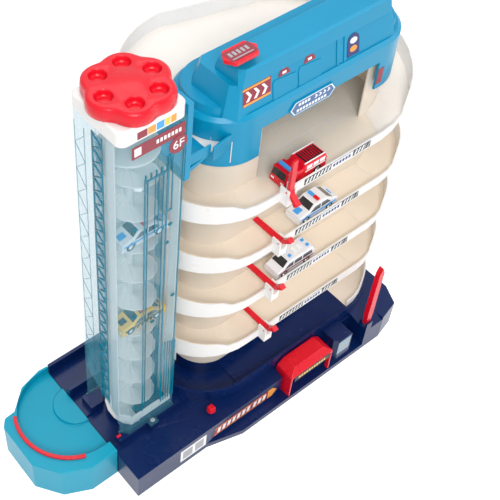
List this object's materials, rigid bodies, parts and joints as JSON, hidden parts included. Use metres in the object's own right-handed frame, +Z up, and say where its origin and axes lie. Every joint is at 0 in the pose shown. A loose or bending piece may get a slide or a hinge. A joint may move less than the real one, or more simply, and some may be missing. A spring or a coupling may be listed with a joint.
{
  "type": "toy parking garage with lift",
  "caption": "Toy multi-storey parking garage with spiral ramp decks, a knob-driven screw lift in a clear tower, lever gates, turning pan and toy cars.",
  "frame": {"origin": "centre of the overall footprint at the surface the garage stands on", "axes": "+X along the length to the right, +Y to the back, +Z up; the play side with the gates faces -Y"},
  "size_m": [0.651, 0.303, 0.666],
  "materials": {
    "navy_plastic": "semi-gloss",
    "teal_plastic": "semi-gloss",
    "white_plastic": "semi-gloss",
    "red_plastic": "gloss",
    "clear_blue": "clear moulded",
    "screw_steel": "polished",
    "fire_red": "gloss",
    "pearl_white": "gloss",
    "taxi_yellow": "gloss",
    "wheel_black": "matte"
  },
  "bodies": {
    "garage": {"base_tray": "navy_plastic", "turn_pan": "teal_plastic", "pan_bumper": "red_plastic", "shell_front": "clear_blue", "shell_back": "clear_blue", "guide_liner": "white_plastic", "lift_cap": "white_plastic", "door_bridge": "teal_plastic", "deck_6f": "white_plastic", "deck_5f": "white_plastic", "deck_4f": "white_plastic", "deck_3f": "white_plastic", "deck_2f": "white_plastic", "top_building": "teal_plastic", "roof_sign": "red_plastic", "entrance_canopy": "red_plastic", "entry_peg": "red_plastic", "shell_screws": "screw_steel"},
    "lift_rotor": {"screw_shaft": "white_plastic", "screw_flight_1": "white_plastic", "screw_flight_2": "white_plastic", "screw_flight_3": "white_plastic", "screw_flight_4": "white_plastic", "lift_knob": "red_plastic"},
    "gate_5f": {"gate_5f": "red_plastic"},
    "gate_4f": {"gate_4f": "red_plastic"},
    "gate_3f": {"gate_3f": "red_plastic"},
    "gate_2f": {"gate_2f": "red_plastic"},
    "entrance_barrier": {"entrance_barrier": "red_plastic"},
    "eject_button": {"eject_button": "red_plastic"},
    "fire_truck": {"fire_truck": "fire_red"},
    "fire_truck_front_wheels": {"fire_truck_front_wheels": "wheel_black"},
    "fire_truck_rear_wheels": {"fire_truck_rear_wheels": "wheel_black"},
    "patrol_sedan": {"patrol_sedan": "pearl_white"},
    "patrol_sedan_front_wheels": {"patrol_sedan_front_wheels": "wheel_black"},
    "patrol_sedan_rear_wheels": {"patrol_sedan_rear_wheels": "wheel_black"},
    "rescue_van": {"rescue_van": "pearl_white"},
    "rescue_van_front_wheels": {"rescue_van_front_wheels": "wheel_black"},
    "rescue_van_rear_wheels": {"rescue_van_rear_wheels": "wheel_black"},
    "lift_sedan": {"lift_sedan": "pearl_white"},
    "lift_sedan_front_wheels": {"lift_sedan_front_wheels": "wheel_black"},
    "lift_sedan_rear_wheels": {"lift_sedan_rear_wheels": "wheel_black"},
    "lift_taxi": {"lift_taxi": "taxi_yellow"},
    "lift_taxi_front_wheels": {"lift_taxi_front_wheels": "wheel_black"},
    "lift_taxi_rear_wheels": {"lift_taxi_rear_wheels": "wheel_black"}
  },
  "joints": [
    {"name": "knob_turn", "type": "hinge", "parent": "garage", "child": "lift_rotor", "pos_m": [-0.153, -0.0315, 0.64], "axis": [0, 0, 1], "range_deg": [-1440, 630]},
    {"name": "gate_5f_lift", "type": "hinge", "parent": "garage", "child": "gate_5f", "pos_m": [0.022, -0.12, 0.467], "axis": [1, 0, 0], "range_deg": [-90, 0]},
    {"name": "gate_4f_lift", "type": "hinge", "parent": "garage", "child": "gate_4f", "pos_m": [0.022, -0.12, 0.374], "axis": [1, 0, 0], "range_deg": [0, 90]},
    {"name": "gate_3f_lift", "type": "hinge", "parent": "garage", "child": "gate_3f", "pos_m": [0.022, -0.12, 0.281], "axis": [1, 0, 0], "range_deg": [0, 90]},
    {"name": "gate_2f_lift", "type": "hinge", "parent": "garage", "child": "gate_2f", "pos_m": [0.022, -0.12, 0.188], "axis": [1, 0, 0], "range_deg": [0, 90]},
    {"name": "barrier_swing", "type": "hinge", "parent": "garage", "child": "entrance_barrier", "pos_m": [0.228, -0.1439, 0.058], "axis": [0, -1, 0], "range_deg": [0, 70]},
    {"name": "button_press", "type": "slide", "parent": "garage", "child": "eject_button", "axis": [0, 0, -1], "range_m": [0, 0.003], "stiffness_N_per_m": 150},
    {"name": "fire_truck_roll", "type": "slide", "parent": "garage", "child": "fire_truck", "axis": [-1, 0, 0], "range_m": [-0.085, 0.03]},
    {"name": "fire_truck_front_wheels_spin", "type": "hinge", "parent": "fire_truck", "child": "fire_truck_front_wheels", "pos_m": [0.042, -0.092, 0.4542], "axis": [0, -1, 0], "continuous": true},
    {"name": "fire_truck_rear_wheels_spin", "type": "hinge", "parent": "fire_truck", "child": "fire_truck_rear_wheels", "pos_m": [0.084, -0.092, 0.4542], "axis": [0, -1, 0], "continuous": true},
    {"name": "patrol_sedan_roll", "type": "slide", "parent": "garage", "child": "patrol_sedan", "axis": [-1, 0, 0], "range_m": [-0.07, 0.04]},
    {"name": "patrol_sedan_front_wheels_spin", "type": "hinge", "parent": "patrol_sedan", "child": "patrol_sedan_front_wheels", "pos_m": [0.082, -0.092, 0.3612], "axis": [0, -1, 0], "continuous": true},
    {"name": "patrol_sedan_rear_wheels_spin", "type": "hinge", "parent": "patrol_sedan", "child": "patrol_sedan_rear_wheels", "pos_m": [0.124, -0.092, 0.3612], "axis": [0, -1, 0], "continuous": true},
    {"name": "rescue_van_roll", "type": "slide", "parent": "garage", "child": "rescue_van", "axis": [-1, 0, 0], "range_m": [-0.095, 0.016]},
    {"name": "rescue_van_front_wheels_spin", "type": "hinge", "parent": "rescue_van", "child": "rescue_van_front_wheels", "pos_m": [0.057, -0.092, 0.2682], "axis": [0, -1, 0], "continuous": true},
    {"name": "rescue_van_rear_wheels_spin", "type": "hinge", "parent": "rescue_van", "child": "rescue_van_rear_wheels", "pos_m": [0.099, -0.092, 0.2682], "axis": [0, -1, 0], "continuous": true},
    {"name": "lift_sedan_rise", "type": "slide", "parent": "garage", "child": "lift_sedan", "axis": [0, 0, 1], "range_m": [-0.2201, 0.0964]},
    {"name": "lift_sedan_front_wheels_spin", "type": "hinge", "parent": "lift_sedan", "child": "lift_sedan_front_wheels", "pos_m": [-0.174, -0.051, 0.4504], "axis": [0, -1, 0], "continuous": true},
    {"name": "lift_sedan_rear_wheels_spin", "type": "hinge", "parent": "lift_sedan", "child": "lift_sedan_rear_wheels", "pos_m": [-0.132, -0.051, 0.4504], "axis": [0, -1, 0], "continuous": true},
    {"name": "lift_taxi_rise", "type": "slide", "parent": "garage", "child": "lift_taxi", "axis": [0, 0, 1], "range_m": [-0.2201, 0.0964]},
    {"name": "lift_taxi_front_wheels_spin", "type": "hinge", "parent": "lift_taxi", "child": "lift_taxi_front_wheels", "pos_m": [-0.174, -0.051, 0.2854], "axis": [0, -1, 0], "continuous": true},
    {"name": "lift_taxi_rear_wheels_spin", "type": "hinge", "parent": "lift_taxi", "child": "lift_taxi_rear_wheels", "pos_m": [-0.132, -0.051, 0.2854], "axis": [0, -1, 0], "continuous": true}
  ],
  "couplings": [
    {"joint": "fire_truck_front_wheels_spin", "follows": "fire_truck_roll", "rad_per_m": 166.67},
    {"joint": "fire_truck_rear_wheels_spin", "follows": "fire_truck_roll", "rad_per_m": 166.67},
    {"joint": "patrol_sedan_front_wheels_spin", "follows": "patrol_sedan_roll", "rad_per_m": 166.67},
    {"joint": "patrol_sedan_rear_wheels_spin", "follows": "patrol_sedan_roll", "rad_per_m": 166.67},
    {"joint": "rescue_van_front_wheels_spin", "follows": "rescue_van_roll", "rad_per_m": 166.67},
    {"joint": "rescue_van_rear_wheels_spin", "follows": "rescue_van_roll", "rad_per_m": 166.67},
    {"joint": "lift_sedan_rise", "follows": "knob_turn", "m_per_rad": 0.0087535},
    {"joint": "lift_taxi_rise", "follows": "knob_turn", "m_per_rad": 0.0087535}
  ]
}
